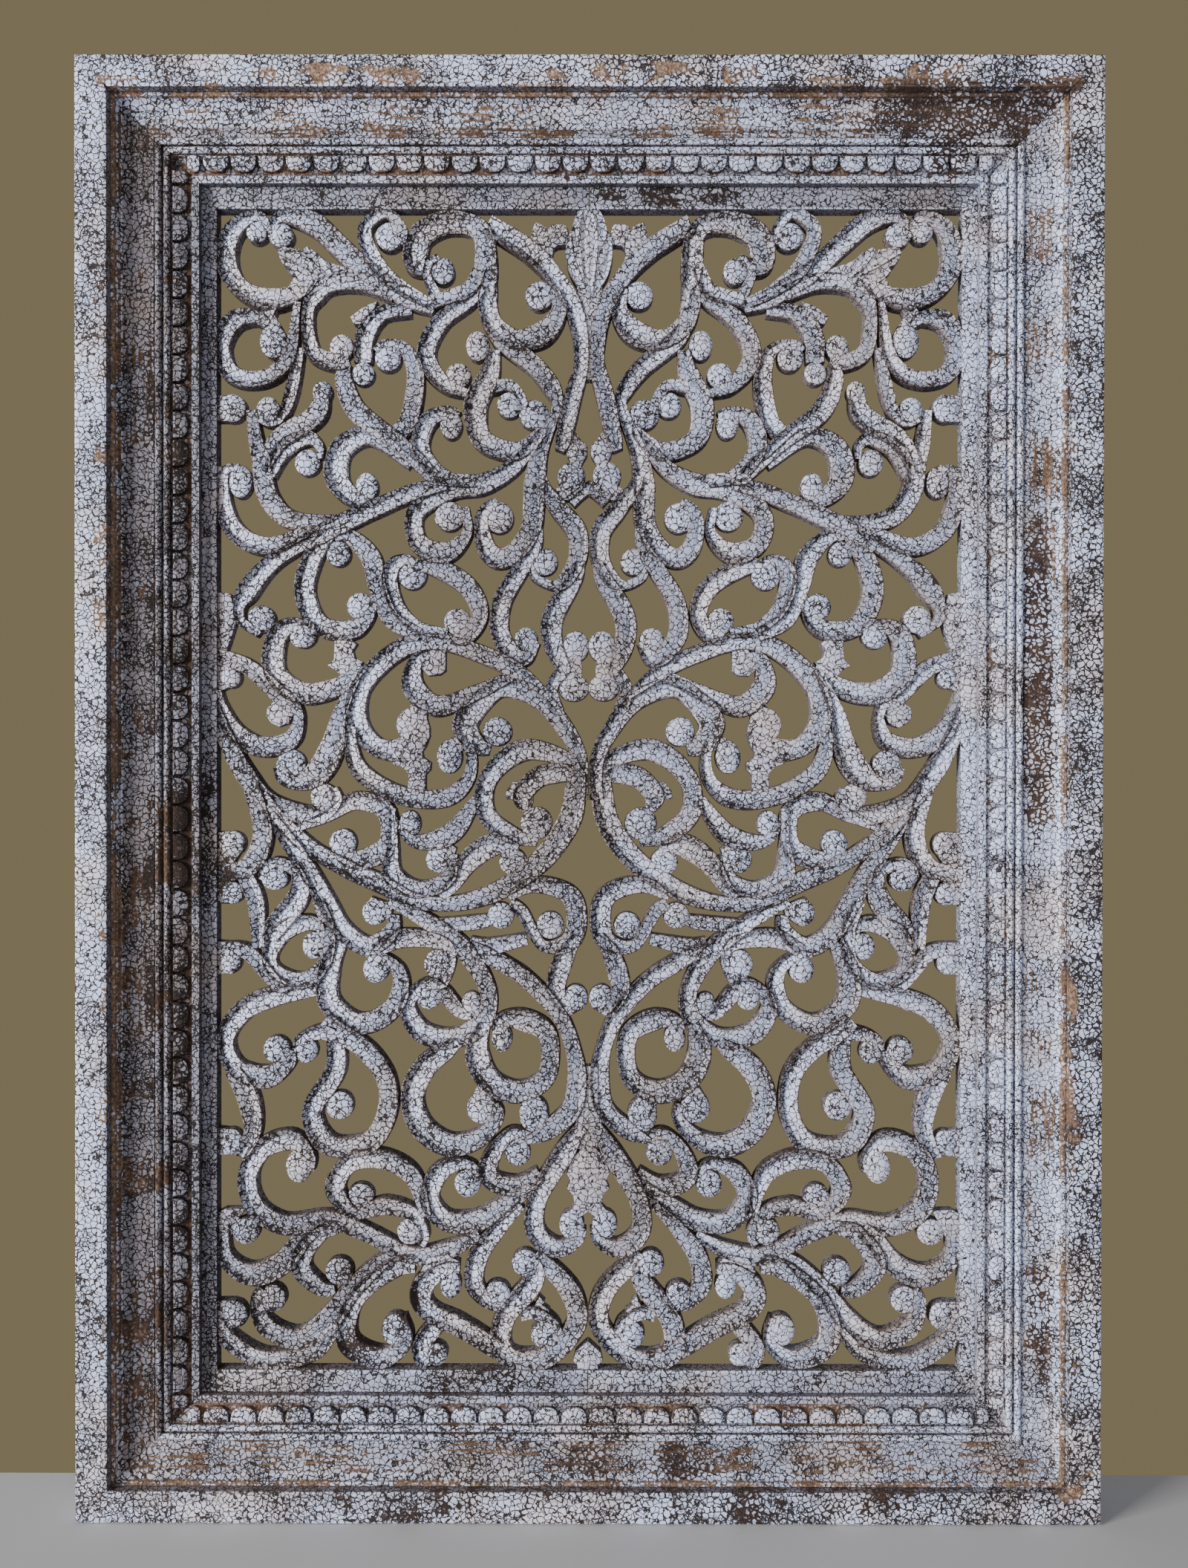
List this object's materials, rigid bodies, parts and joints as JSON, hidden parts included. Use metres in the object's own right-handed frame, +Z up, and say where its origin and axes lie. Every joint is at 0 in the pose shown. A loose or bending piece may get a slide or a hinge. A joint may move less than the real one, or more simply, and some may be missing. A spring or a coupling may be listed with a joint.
{
  "type": "carved relief panel",
  "caption": "Pierced wooden relief panel: a symmetric arabesque of scrolls in a moulded frame, made to hang flat on a wall",
  "frame": {"origin": "middle of the top outer board's back face, where the panel meets the wall", "axes": "+X to the right seen from the front, the front faces -Y, +Y into the wall, +Z up"},
  "size_m": [0.7, 0.04, 1],
  "materials": {
    "band_paint": "white crackle paint over dark wood",
    "moulding_paint": "white crackle paint over dark wood",
    "carving_paint": "lilac white crackle paint over dark wood"
  },
  "bodies": {
    "root": {"outer_board_top": "band_paint", "outer_board_bottom": "band_paint", "outer_board_left": "band_paint", "outer_board_right": "band_paint", "moulding_top": "moulding_paint", "moulding_bottom": "moulding_paint", "moulding_left": "moulding_paint", "moulding_right": "moulding_paint", "carved_board_left": "carving_paint", "carved_board_right": "carving_paint"}
  },
  "joints": []
}
